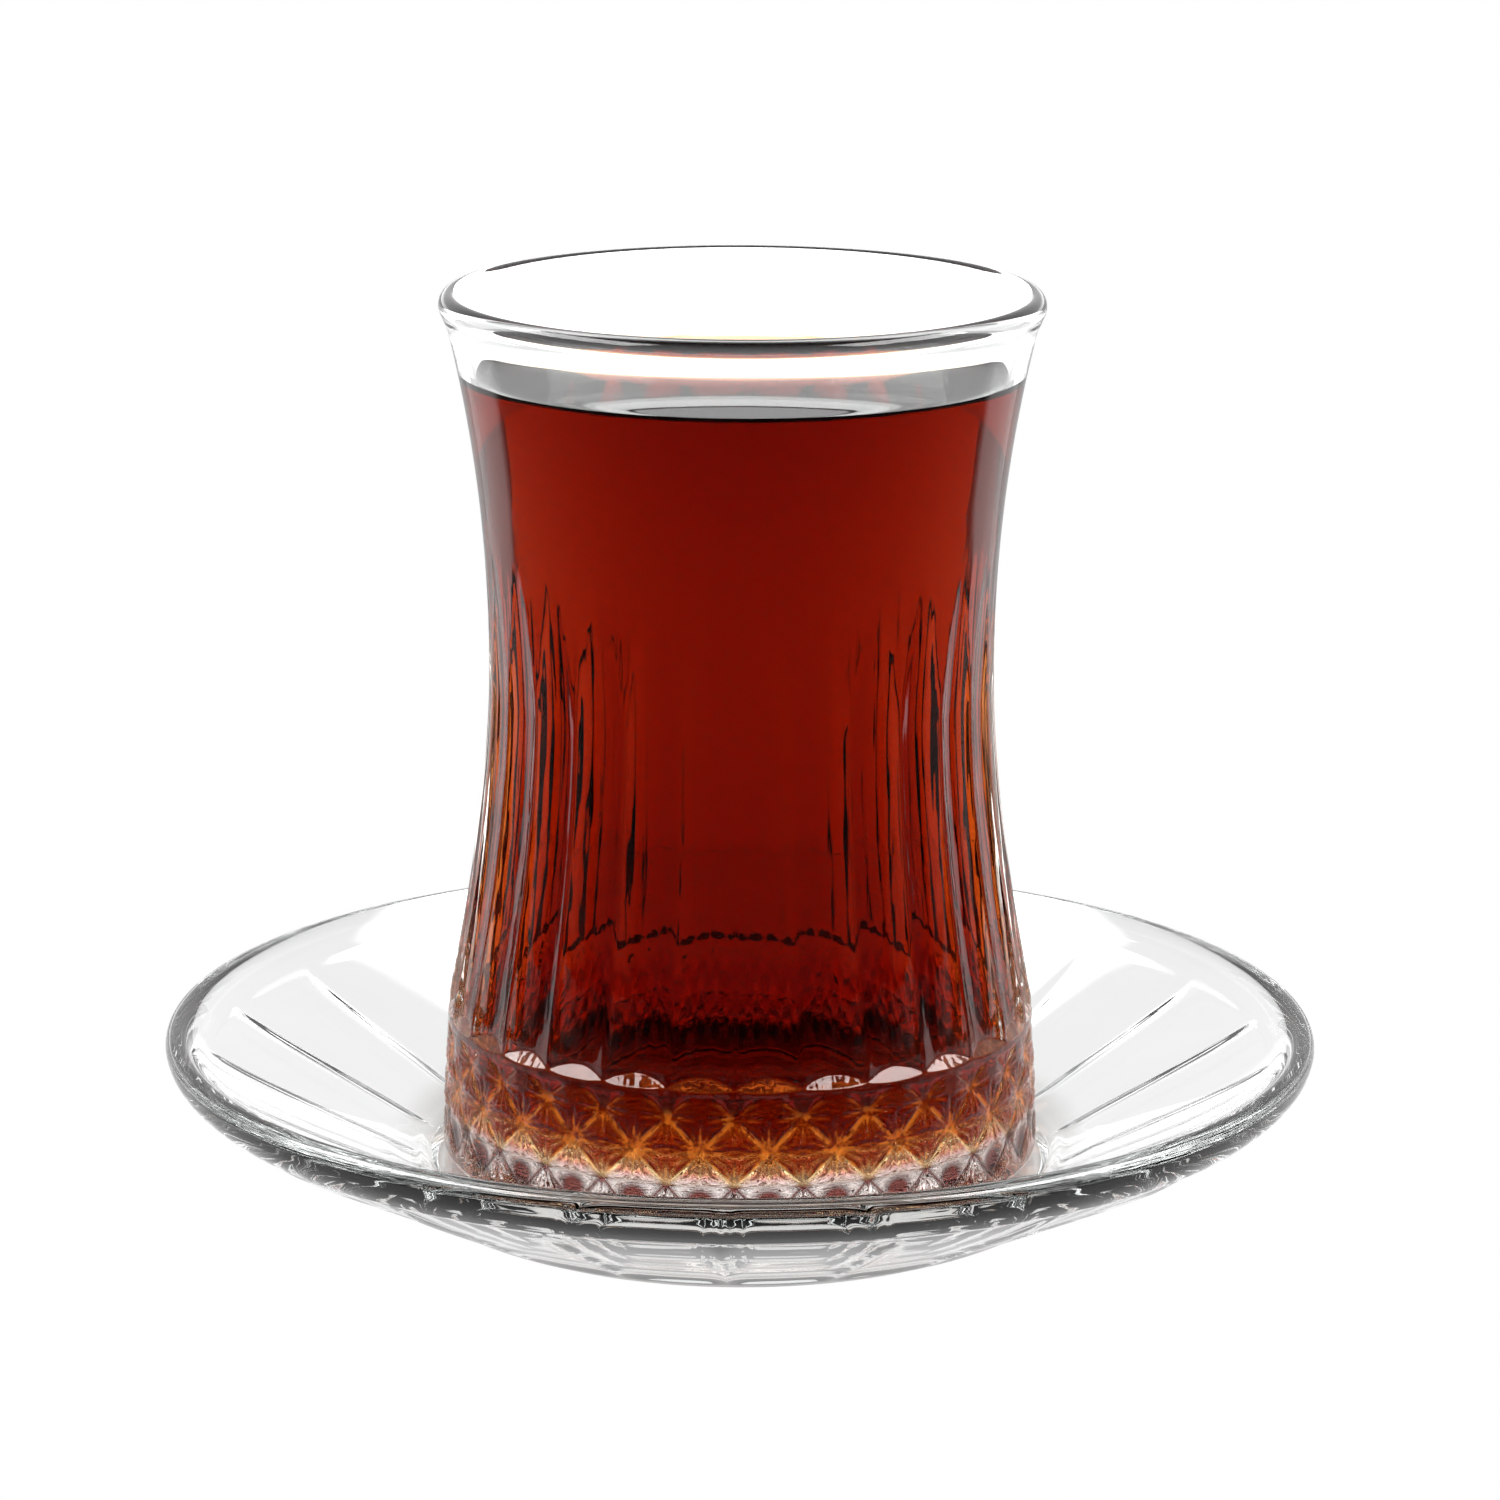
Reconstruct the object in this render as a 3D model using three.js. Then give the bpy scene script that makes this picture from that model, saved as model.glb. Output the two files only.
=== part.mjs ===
// A waisted tea glass, filled with tea, on its pressed glass saucer.
// Millimetres, +Z up. The origin is on the common axis of glass and saucer,
// in the plane that the saucer's foot ring stands on. The front view looks along +Y.
import * as THREE from 'three';

// Driving dimensions of the glass. Heights are above the origin.
const LIP_RADIUS = 30;
const LIP_HEIGHT = 91.6;
const LIP_HALF_WIDTH = 1.05;
const LIP_HALF_HEIGHT = 1.3;
const LIP_FROM_DEGREES = -30;
const LIP_TO_DEGREES = 210;
const NECK_RADIUS = 29.3;
const NECK_HEIGHT = 90.0;
const NECK_FLARE = 0.24;
const WAIST_RADIUS = 25.3;
const WAIST_HEIGHT = 56.5;
const SHOULDER_RADIUS = 29.6;
const SHOULDER_HEIGHT = 20.8;
const SHOULDER_SLOPE = -0.19;
const FOOT_RADIUS = 30.3;
const FOOT_HEIGHT = 9.6;
const FOOT_EDGE_ROUND = 1.4;
const FOOT_HOLLOW_RADIUS = 25;
const FOOT_HOLLOW_DEPTH = 0.8;
const FOOT_HOLLOW_SLANT = 2;

// The cavity of the glass, which the tea fills.
const CAVITY_FLOOR = 8.4;
const CAVITY_BELLY_RADIUS = 25.8;
const CAVITY_BELLY_HEIGHT = 13.5;
const CAVITY_BELLY_SLOPE = -0.02;
const CAVITY_CORNER = 0.4;
const CAVITY_WAIST_RADIUS = 23.4;
const CAVITY_NECK_RADIUS = 27.7;
const CAVITY_TOP = 89;

// The pressed pattern: flutes above, a ring of slanting ledges, and star cuts below.
const REPEATS = 28;
const STAR_TURN = THREE.MathUtils.degToRad(-7.27);
const STAR_HEIGHT = 13.3;
const STAR_HALF_CELL = 3.4;
const STAR_BAND_CELLS = 1.5;
const DIAGONAL_DEPTH = 0.75;
const LEVEL_GROOVE_DEPTH = 0.5;
const STAR_DEPTH = 0.95;
const GROOVE_HALF_WIDTH = 1.3;
const LEDGE_LOW = 19.4;
const LEDGE_HIGH = 20.8;
const FLUTE_ROUND = 6;
const FLUTE_DEPTH_LOW = 0.95;
const FLUTE_DEPTH_WAIST = 0.7;
const FLUTE_FULL_HEIGHT = 53;
const FLUTE_TOP_HEIGHT = 69;
const FLUTE_FADE = 1.5;

// The tea.
const TEA_LEVEL = 84.4;
const TEA_CLEARANCE = 0.3;
const MENISCUS_RISE = 1.0;
const MENISCUS_WIDTH = 1.8;

// The saucer.
const SAUCER_RADIUS = 58.3;
const SAUCER_RIM_HEIGHT = 16.9;
const SAUCER_RIM_ROUND = 1.15;
const RIM_FROM_DEGREES = -40;
const RIM_TO_DEGREES = 140;
const SAUCER_WALL = 4.2;
const RIM_LIFT = 0.14;
const RIM_LIFT_POWER = 9;
const WELL_FLOOR = 4.2;
const WELL_RADIUS = 31.9;
const WELL_STEP = 0.8;
const WELL_SLANT = 1;
const BOWL_INNER_RADIUS = 38.2;
const RING_FOOT_OUTER = 31.2;
const RING_FOOT_INNER = 27;
const RING_FOOT_RECESS = 1.6;
const RING_FOOT_SLANT = 1.5;
const RIBS = 21;
const RIB_TURN = THREE.MathUtils.degToRad(-87.5);
const RIB_PANEL_DEPTH = 0.45;
const RIB_INNER_RADIUS = 35;
const RIB_OUTER_RADIUS = 55;

// Gap kept between the glass and what it stands on.
const REST_GAP = 0.3;

// Columns round the axis: four for each repeat of a pattern, half as many on plain walls.
const PATTERN_COLUMNS = REPEATS * 4;
const PLAIN_COLUMNS = REPEATS * 2;
const RIB_COLUMNS = RIBS * 4;
const SAUCER_COLUMNS = RIBS * 2;

// Steps from ring to ring along each part of the outlines.
const STAR_BAND_STEPS = 6;
const FLUTE_STEPS = 7;
const ARCH_STEPS = 4;
const NECK_STEPS = 5;
const LIP_STEPS = 6;
const CAVITY_WALL_STEPS = 8;
const CAVITY_BOTTOM_STEPS = 5;
const PANEL_STEPS = 5;
const RIM_STEPS = 4;
const BOWL_STEPS = 4;

// The whole turn, and where it starts.
const FULL_TURN = Math.PI * 2;
const FRONT = -Math.PI / 2;

// Value at t from 0 to 1 of the cubic through a and b with end slopes slopeA and slopeB.
function hermite(t, a, slopeA, b, slopeB) {
  const t2 = t * t;
  const t3 = t2 * t;
  return (2 * t3 - 3 * t2 + 1) * a + (t3 - 2 * t2 + t) * slopeA + (3 * t2 - 2 * t3) * b + (t3 - t2) * slopeB;
}

// Brings a value to the range from -half to half, in steps of twice half.
function wrapped(value, half) {
  return value - 2 * half * Math.round(value / (2 * half));
}

// Numbers from first to last, both included, in equal steps.
function evenly(first, last, steps) {
  return Array.from({ length: steps + 1 }, (_, i) => first + ((last - first) * i) / steps);
}

// Radius of the glass's outer wall before any cut: foot, shoulder, waist and neck.
function wallRadius(z) {
  if (z < SHOULDER_HEIGHT) {
    const t = Math.max(z - FOOT_HEIGHT, 0) / (SHOULDER_HEIGHT - FOOT_HEIGHT);
    return THREE.MathUtils.lerp(FOOT_RADIUS, SHOULDER_RADIUS, t);
  }
  if (z < WAIST_HEIGHT) {
    const span = WAIST_HEIGHT - SHOULDER_HEIGHT;
    const t = (z - SHOULDER_HEIGHT) / span;
    return hermite(t, SHOULDER_RADIUS, SHOULDER_SLOPE * span, WAIST_RADIUS, 0);
  }
  const span = NECK_HEIGHT - WAIST_HEIGHT;
  return hermite((z - WAIST_HEIGHT) / span, WAIST_RADIUS, 0, NECK_RADIUS, NECK_FLARE * span);
}

// Radius of the cavity above its rounded bottom.
function cavityRadius(z) {
  if (z < WAIST_HEIGHT) {
    const span = WAIST_HEIGHT - CAVITY_BELLY_HEIGHT;
    const t = (z - CAVITY_BELLY_HEIGHT) / span;
    return hermite(t, CAVITY_BELLY_RADIUS, CAVITY_BELLY_SLOPE * span, CAVITY_WAIST_RADIUS, 0);
  }
  const span = NECK_HEIGHT - WAIST_HEIGHT;
  return hermite((z - WAIST_HEIGHT) / span, CAVITY_WAIST_RADIUS, 0, CAVITY_NECK_RADIUS, NECK_FLARE * span);
}

// Depth of a V groove at a distance from its line.
function groove(depth, distance, halfWidth) {
  return Math.max(0, depth * (1 - distance / halfWidth));
}

// Depth of the star cuts. Diagonal grooves cross at the stars and midway between them,
// a level groove links the stars, and every star is cut deepest at its centre.
function starCut(angle, z) {
  const across = (angle - FRONT - STAR_TURN) / (Math.PI / REPEATS);
  const up = (z - STAR_HEIGHT) / STAR_HALF_CELL;
  const slant = STAR_HALF_CELL / Math.SQRT2;
  const rising = Math.abs(wrapped(across - up, 1)) * slant;
  const falling = Math.abs(wrapped(across + up, 1)) * slant;
  const level = Math.abs(up) * STAR_HALF_CELL;
  const fromStar = Math.hypot(wrapped(across, 1), up) * STAR_HALF_CELL;
  return Math.max(
    groove(DIAGONAL_DEPTH, Math.min(rising, falling), GROOVE_HALF_WIDTH),
    groove(LEVEL_GROOVE_DEPTH, level, GROOVE_HALF_WIDTH),
    groove(STAR_DEPTH, fromStar, 2 * GROOVE_HALF_WIDTH),
  );
}

// Depth of the flutes: hollows round in section, which rise out of the wall in arches.
function fluteCut(angle, z) {
  const turn = wrapped(angle - FRONT - STAR_TURN, Math.PI / REPEATS);
  const across = turn * wallRadius(z);
  let middle;
  if (z < FLUTE_FULL_HEIGHT) {
    const t = (z - LEDGE_HIGH) / (FLUTE_FULL_HEIGHT - LEDGE_HIGH);
    middle = THREE.MathUtils.lerp(FLUTE_DEPTH_LOW, FLUTE_DEPTH_WAIST, t);
  } else {
    const t = Math.max(0, (FLUTE_TOP_HEIGHT - z) / (FLUTE_TOP_HEIGHT - FLUTE_FULL_HEIGHT));
    middle = FLUTE_DEPTH_WAIST * t ** FLUTE_FADE;
  }
  return Math.max(0, middle - across ** 2 / (2 * FLUTE_ROUND));
}

// Depth of whatever is cut into the outer wall at one place: stars below the ledges and
// flutes above them.
function wallCut(angle, z) {
  return z < LEDGE_LOW ? starCut(angle, z) : fluteCut(angle, z);
}

// A ring of points at a height: the columns round it start at a turn from the front, and
// its radius is lessened by what is cut away at each angle.
function ring(z, radius, columns, turn, cut = () => 0) {
  const points = [];
  for (let i = 0; i < columns; i += 1) {
    const angle = FRONT + turn + (i / columns) * FULL_TURN;
    const r = radius - cut(angle, z);
    points.push(new THREE.Vector3(r * Math.cos(angle), r * Math.sin(angle), z));
  }
  return points;
}

// One point on the axis, which closes a surface.
function pole(z) {
  return [new THREE.Vector3(0, 0, z)];
}

// Triangles between two rings with the same columns. Each four-sided face is split
// along the diagonal that lies nearer to the axis, so that it follows a groove.
function joinEqual(lower, upper, radii, faces, count) {
  for (let i = 0; i < count; i += 1) {
    const j = (i + 1) % count;
    const [a, b, c, d] = [lower + i, lower + j, upper + j, upper + i];
    if (radii[a] + radii[c] <= radii[b] + radii[d]) {
      faces.push(a, b, c, a, c, d);
    } else {
      faces.push(a, b, d, b, c, d);
    }
  }
}

// Triangles between a ring and one with half its columns, whichever is the lower.
function joinHalf(lower, lowerCount, upper, upperCount, faces) {
  const coarse = Math.min(lowerCount, upperCount);
  for (let i = 0; i < coarse; i += 1) {
    const j = (i + 1) % coarse;
    const k = (2 * i + 2) % (2 * coarse);
    if (lowerCount > upperCount) {
      const [f0, f1, f2] = [lower + 2 * i, lower + 2 * i + 1, lower + k];
      faces.push(f0, f1, upper + i, f1, upper + j, upper + i, f1, f2, upper + j);
    } else {
      const [f0, f1, f2] = [upper + 2 * i, upper + 2 * i + 1, upper + k];
      faces.push(lower + i, f1, f0, lower + i, lower + j, f1, lower + j, f2, f1);
    }
  }
}

// A closed surface through a run of rings that starts and ends with a pole. The run goes
// from the underside out, up the outer wall and back down the inside.
function closedSurface(rings) {
  const starts = [];
  const positions = [];
  for (const points of rings) {
    starts.push(positions.length / 3);
    points.forEach((point) => positions.push(point.x, point.y, point.z));
  }
  const radii = Array.from({ length: positions.length / 3 }, (_, i) =>
    Math.hypot(positions[3 * i], positions[3 * i + 1]));
  const faces = [];
  for (let row = 0; row + 1 < rings.length; row += 1) {
    const [lower, upper] = [starts[row], starts[row + 1]];
    const [lowerCount, upperCount] = [rings[row].length, rings[row + 1].length];
    if (lowerCount === 1 || upperCount === 1) {
      const count = Math.max(lowerCount, upperCount);
      for (let i = 0; i < count; i += 1) {
        const j = (i + 1) % count;
        if (lowerCount === 1) {
          faces.push(lower, upper + j, upper + i);
        } else {
          faces.push(lower + i, lower + j, upper);
        }
      }
    } else if (lowerCount === upperCount) {
      joinEqual(lower, upper, radii, faces, lowerCount);
    } else {
      joinHalf(lower, lowerCount, upper, upperCount, faces);
    }
  }
  const geometry = new THREE.BufferGeometry();
  geometry.setAttribute('position', new THREE.Float32BufferAttribute(positions, 3));
  geometry.setIndex(faces);
  geometry.computeVertexNormals();
  return geometry;
}

// Points of the cavity's rounded bottom, from the axis out to the belly: a quarter of a
// superellipse, flatter than a circle in the middle.
function cavityBottom(steps, inset) {
  const width = CAVITY_BELLY_RADIUS - inset;
  const depth = CAVITY_BELLY_HEIGHT - CAVITY_FLOOR - inset;
  return evenly(0, 1, steps).slice(1).map((t) => {
    const angle = (t * Math.PI) / 2;
    const r = width * Math.sin(angle) ** CAVITY_CORNER;
    const z = CAVITY_BELLY_HEIGHT - depth * Math.cos(angle) ** CAVITY_CORNER;
    return new THREE.Vector2(r, z);
  });
}

// The glass: foot, cut wall, rounded lip and cavity.
function glassGeometry() {
  const base = WELL_FLOOR + REST_GAP;
  const plain = (r, z) => ring(z, r, PLAIN_COLUMNS, STAR_TURN);
  const cut = (z) => ring(z, wallRadius(z), PATTERN_COLUMNS, STAR_TURN, wallCut);
  const rings = [pole(base + FOOT_HOLLOW_DEPTH)];
  rings.push(plain(FOOT_HOLLOW_RADIUS - FOOT_HOLLOW_SLANT, base + FOOT_HOLLOW_DEPTH));
  rings.push(plain(FOOT_HOLLOW_RADIUS, base));
  rings.push(ring(base, FOOT_RADIUS - FOOT_EDGE_ROUND, PATTERN_COLUMNS, STAR_TURN));
  rings.push(ring(base + FOOT_EDGE_ROUND, FOOT_RADIUS, PATTERN_COLUMNS, STAR_TURN));
  const halfBand = STAR_HALF_CELL * STAR_BAND_CELLS;
  const band = evenly(STAR_HEIGHT - halfBand, STAR_HEIGHT + halfBand, STAR_BAND_STEPS);
  band.forEach((z) => rings.push(cut(z)));
  rings.push(ring(LEDGE_LOW, wallRadius(LEDGE_LOW), PATTERN_COLUMNS, STAR_TURN));
  evenly(LEDGE_HIGH, FLUTE_FULL_HEIGHT, FLUTE_STEPS).forEach((z) => rings.push(cut(z)));
  const arches = evenly(FLUTE_FULL_HEIGHT, FLUTE_TOP_HEIGHT, ARCH_STEPS).slice(1, -1);
  arches.forEach((z) => rings.push(cut(z)));
  const neck = evenly(FLUTE_TOP_HEIGHT, NECK_HEIGHT, NECK_STEPS);
  neck.forEach((z) => rings.push(plain(wallRadius(z), z)));
  const lipCentre = LIP_RADIUS - LIP_HALF_WIDTH;
  evenly(LIP_FROM_DEGREES, LIP_TO_DEGREES, LIP_STEPS).forEach((degrees) => {
    const angle = THREE.MathUtils.degToRad(degrees);
    const r = lipCentre + LIP_HALF_WIDTH * Math.cos(angle);
    rings.push(plain(r, LIP_HEIGHT + LIP_HALF_HEIGHT * Math.sin(angle)));
  });
  evenly(CAVITY_TOP, CAVITY_BELLY_HEIGHT, CAVITY_WALL_STEPS).forEach((z) => {
    rings.push(plain(cavityRadius(z), z));
  });
  const bottom = cavityBottom(CAVITY_BOTTOM_STEPS, 0).reverse();
  bottom.slice(1).forEach((p) => rings.push(plain(p.x, p.y)));
  rings.push(pole(CAVITY_FLOOR));
  return closedSurface(rings);
}

// The tea: the cavity's shape, a little inside it, up to the level, with a raised edge.
function teaGeometry() {
  const plain = (r, z) => ring(z, r, PLAIN_COLUMNS, STAR_TURN);
  const rings = [pole(CAVITY_FLOOR + TEA_CLEARANCE)];
  const bottom = cavityBottom(CAVITY_BOTTOM_STEPS, TEA_CLEARANCE);
  bottom.forEach((p) => rings.push(plain(p.x, p.y)));
  const edge = TEA_LEVEL + MENISCUS_RISE;
  evenly(CAVITY_BELLY_HEIGHT, edge, CAVITY_WALL_STEPS).slice(1).forEach((z) => {
    rings.push(plain(cavityRadius(z) - TEA_CLEARANCE, z));
  });
  rings.push(plain(cavityRadius(edge) - TEA_CLEARANCE - MENISCUS_WIDTH, TEA_LEVEL));
  rings.push(pole(TEA_LEVEL));
  return closedSurface(rings);
}

// Underside of the saucer's bowl: a straight slope from the foot ring, which lifts more
// steeply towards the rim.
function undersideHeight(r) {
  const t = (r - RING_FOOT_OUTER) / (SAUCER_RADIUS - RING_FOOT_OUTER);
  const rise = SAUCER_RIM_HEIGHT - SAUCER_RIM_ROUND;
  return rise * THREE.MathUtils.lerp(t, t ** RIM_LIFT_POWER, RIM_LIFT);
}

// Hollow of the underside's panels, deepest midway between two ribs and nothing on a rib
// or at the panel's inner and outer ends.
function panelHollow(angle, r) {
  const fromRib = Math.abs(wrapped(angle - FRONT - RIB_TURN, Math.PI / RIBS)) / (Math.PI / RIBS);
  const along = (r - RIB_INNER_RADIUS) / (RIB_OUTER_RADIUS - RIB_INNER_RADIUS);
  const acrossPanel = 1 - (1 - fromRib) ** 2;
  const alongPanel = 1 - (2 * along - 1) ** 4;
  return RIB_PANEL_DEPTH * acrossPanel * alongPanel;
}

// A ring of the underside, lifted by the hollow of its panels.
function ribbedRing(r) {
  return ring(undersideHeight(r), r, RIB_COLUMNS, RIB_TURN).map((point) => {
    const angle = Math.atan2(point.y, point.x);
    return point.setZ(point.z + panelHollow(angle, r));
  });
}

// The saucer: foot ring, ribbed bowl, rounded rim and the well that holds the glass.
function saucerGeometry() {
  const plain = (r, z) => ring(z, r, SAUCER_COLUMNS, RIB_TURN);
  const rings = [pole(RING_FOOT_RECESS)];
  rings.push(plain(RING_FOOT_INNER - RING_FOOT_SLANT, RING_FOOT_RECESS));
  rings.push(plain(RING_FOOT_INNER, 0));
  rings.push(plain(RING_FOOT_OUTER, 0));
  const panels = evenly(RIB_INNER_RADIUS, RIB_OUTER_RADIUS, PANEL_STEPS);
  panels.forEach((r) => rings.push(ribbedRing(r)));
  const rimCentre = SAUCER_RADIUS - SAUCER_RIM_ROUND;
  evenly(RIM_FROM_DEGREES, RIM_TO_DEGREES, RIM_STEPS).forEach((degrees) => {
    const angle = THREE.MathUtils.degToRad(degrees);
    const r = rimCentre + SAUCER_RIM_ROUND * Math.cos(angle);
    rings.push(ring(SAUCER_RIM_HEIGHT + SAUCER_RIM_ROUND * Math.sin(angle), r, RIB_COLUMNS, RIB_TURN));
  });
  evenly(RIB_OUTER_RADIUS, BOWL_INNER_RADIUS, BOWL_STEPS).forEach((r) => {
    rings.push(plain(r, undersideHeight(r) + SAUCER_WALL));
  });
  rings.push(plain(WELL_RADIUS + WELL_SLANT, WELL_FLOOR + WELL_STEP));
  rings.push(plain(WELL_RADIUS, WELL_FLOOR));
  rings.push(pole(WELL_FLOOR));
  return closedSurface(rings);
}

// A named sub-part with its own finish.
function subPart(name, geometry, finish) {
  const mesh = new THREE.Mesh(geometry, new THREE.MeshStandardMaterial(finish));
  mesh.name = name;
  return mesh;
}

const clearGlass = { color: 0xe6ebe8, roughness: 0.03, metalness: 0, transparent: true, opacity: 0.35 };
const darkTea = { color: 0x7a1405, roughness: 0.05, metalness: 0, transparent: true, opacity: 0.9 };

const teaGlass = new THREE.Group();
teaGlass.add(subPart('glass', glassGeometry(), clearGlass));
teaGlass.add(subPart('tea', teaGeometry(), darkTea));
teaGlass.add(subPart('saucer', saucerGeometry(), clearGlass));

export default teaGlass;
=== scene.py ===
# %% [markdown]
# # A waisted tea glass on its saucer
#
# The object is three pieces: a pressed glass, the tea in it, and a pressed glass saucer.
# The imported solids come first, as a fixed frame. They have the right sizes but few faces,
# so each is replaced by a finer surface worked out from the same dimensions.

import math

import bpy
import numpy as np
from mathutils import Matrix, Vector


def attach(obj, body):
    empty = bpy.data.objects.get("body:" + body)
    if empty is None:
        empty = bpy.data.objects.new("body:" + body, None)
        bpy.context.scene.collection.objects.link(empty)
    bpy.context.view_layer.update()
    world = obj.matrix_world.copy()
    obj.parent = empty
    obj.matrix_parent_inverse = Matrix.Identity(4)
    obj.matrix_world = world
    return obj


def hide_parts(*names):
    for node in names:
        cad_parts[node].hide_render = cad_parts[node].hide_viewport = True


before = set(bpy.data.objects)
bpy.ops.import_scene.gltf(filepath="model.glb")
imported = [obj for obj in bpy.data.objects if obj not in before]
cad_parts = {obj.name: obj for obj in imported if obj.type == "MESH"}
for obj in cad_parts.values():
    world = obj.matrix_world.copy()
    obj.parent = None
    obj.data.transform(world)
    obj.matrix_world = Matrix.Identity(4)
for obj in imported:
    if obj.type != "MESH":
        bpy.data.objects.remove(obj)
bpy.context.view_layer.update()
MM = 0.001
print("solids:", sorted(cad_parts))

# %% [markdown]
# ## Surfaces as stacks of rings
#
# Everything here is round, so every surface is a stack of rings of points. A profile gives
# each ring's radius and height, and a cut can change the radius from one angle to the next.
# Plain walls need few columns and the cut ones many. Two neighbouring rings may therefore
# differ in their number of columns, as long as one number divides the other.


# %% Helpers for profiles and rings
def hermite(t, a, slope_a, b, slope_b):
    """Cubic from a to b over t from 0 to 1, with the two slopes at its ends."""
    t2, t3 = t * t, t * t * t
    return (
        (2 * t3 - 3 * t2 + 1) * a
        + (t3 - 2 * t2 + t) * slope_a
        + (3 * t2 - 2 * t3) * b
        + (t3 - t2) * slope_b
    )


def wrapped(value, half):
    """Value brought to between -half and half by whole steps of twice half."""
    return value - 2 * half * np.round(value / (2 * half))


def smooth(t):
    """Step from 0 to 1 with flat ends: 3 t squared minus 2 t cubed, t held to 0..1."""
    t = np.clip(t, 0, 1)
    return t * t * (3 - 2 * t)


def through(points, steps):
    """Curve through the points, each part a cubic whose end slopes are half the chord
    between the point's neighbours. Gives (radius, height) rows, steps to each part."""
    p = np.array(points, float)
    slope = np.gradient(p, axis=0)
    t = (np.arange(steps) / steps)[None, :, None]
    parts = hermite(t, p[:-1, None], slope[:-1, None], p[1:, None], slope[1:, None])
    return np.vstack([parts.reshape(-1, 2), p[-1]])


def angles(columns, turn):
    """Angles of a ring's columns, counted from the front, -Y, plus a turn."""
    return turn + np.arange(columns) * 2 * np.pi / columns


def ring(radius, height, turn_angles):
    """Points (r sin a, -r cos a, z): angle 0 looks out to -Y and 90 degrees to +X."""
    r = np.broadcast_to(radius, turn_angles.shape)
    z = np.broadcast_to(height, turn_angles.shape)
    return np.stack([r * np.sin(turn_angles), -r * np.cos(turn_angles), z], axis=1)


def rings_of(profile, columns, turn):
    """One plain ring for each (radius, height) row of a profile."""
    a = angles(columns, turn)
    return [ring(r, z, a) for r, z in profile]


# %% [markdown]
# The rings are joined by triangles. Between two equal rings each four-sided cell is split
# along the diagonal nearer to the axis, so that a groove keeps a clean bottom line. Between
# a fine and a coarse ring the fine points fan out from the nearest coarse one.


# %% Join rings into one closed mesh
def join_equal(low, high, radii, count):
    """Two triangles for each cell between rings that start at points low and high."""
    i = np.arange(count)
    j = (i + 1) % count
    a, b, c, d = low + i, low + j, high + j, high + i
    first = (radii[a] + radii[c] <= radii[b] + radii[d])[:, None]
    one = np.where(first, np.stack([a, b, c], 1), np.stack([a, b, d], 1))
    two = np.where(first, np.stack([a, c, d], 1), np.stack([b, c, d], 1))
    return np.vstack([one, two])


def join_uneven(low, low_count, high, high_count):
    """Fans between a fine and a coarse ring: fine cell i goes to the coarse point nearest
    to its middle, and coarse cell j to the fine point at its middle."""
    fine, coarse = max(low_count, high_count), min(low_count, high_count)
    step = fine // coarse
    i, j = np.arange(fine), np.arange(coarse)
    near = ((i + (step + 1) // 2) // step) % coarse
    middle = j * step + step // 2
    if low_count > high_count:
        fans = np.stack([low + i, low + (i + 1) % fine, high + near], 1)
        caps = np.stack([high + (j + 1) % coarse, high + j, low + middle], 1)
    else:
        fans = np.stack([high + (i + 1) % fine, high + i, low + near], 1)
        caps = np.stack([low + j, low + (j + 1) % coarse, high + middle], 1)
    return np.vstack([fans, caps])


def join_pole(pole, start, count, pole_first):
    """A fan of triangles between one point on the axis and a ring."""
    i = np.arange(count)
    j = (i + 1) % count
    tip = np.full(count, pole)
    order = [tip, start + j, start + i] if pole_first else [start + i, start + j, tip]
    return np.stack(order, 1)


def closed_mesh(name, rings, runs=((0, 0),), cuts=None):
    """A smooth closed mesh through rings that start and end with a pole. The rings run
    from the underside out and up, and back down on the inside. Each run is the number of
    its first ring and the number of the material that its faces take. Cuts give each
    point a value, kept as the attribute cut_depth."""
    counts = [len(r) for r in rings]
    starts = np.concatenate([[0], np.cumsum(counts)])[:-1]
    points = np.vstack(rings)
    radii = np.hypot(points[:, 0], points[:, 1])
    faces = []
    for low, n, high, m in zip(starts[:-1], counts[:-1], starts[1:], counts[1:]):
        if n == 1:
            faces.append(join_pole(low, high, m, True))
        elif m == 1:
            faces.append(join_pole(high, low, n, False))
        elif n == m:
            faces.append(join_equal(low, high, radii, n))
        else:
            faces.append(join_uneven(low, n, high, m))
    sizes = [len(f) for f in faces]
    row = np.repeat(np.arange(len(faces)), sizes)
    first, material = np.array(runs).T
    finish = material[np.searchsorted(first, row, side="right") - 1]
    faces = np.vstack(faces).astype(np.int32)
    mesh = bpy.data.meshes.new(name)
    mesh.vertices.add(len(points))
    mesh.vertices.foreach_set("co", (points * MM).astype(np.float32).ravel())
    mesh.loops.add(faces.size)
    mesh.loops.foreach_set("vertex_index", faces.ravel())
    mesh.polygons.add(len(faces))
    mesh.polygons.foreach_set("loop_start", np.arange(0, faces.size, 3, dtype=np.int32))
    mesh.polygons.foreach_set("use_smooth", np.ones(len(faces), bool))
    mesh.polygons.foreach_set("material_index", finish.astype(np.int32))
    if cuts is not None:
        depth = mesh.attributes.new("cut_depth", "FLOAT", "POINT")
        depth.data.foreach_set("value", np.concatenate(cuts).astype(np.float32))
    mesh.update(calc_edges=True)
    mesh.validate()
    piece = bpy.data.objects.new(name, mesh)
    bpy.context.scene.collection.objects.link(piece)
    print(name, "has", len(faces), "triangles")
    return piece


# %% [markdown]
# ## The wall of the glass
#
# The glass is pressed in a mould. Its outside goes straight up from a heavy foot, narrows
# to a waist and flares to a rounded lip. Two cubics give the waist and the neck, so that
# the outline has no kink. The inside is smooth, because a plain plunger presses it.

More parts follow.
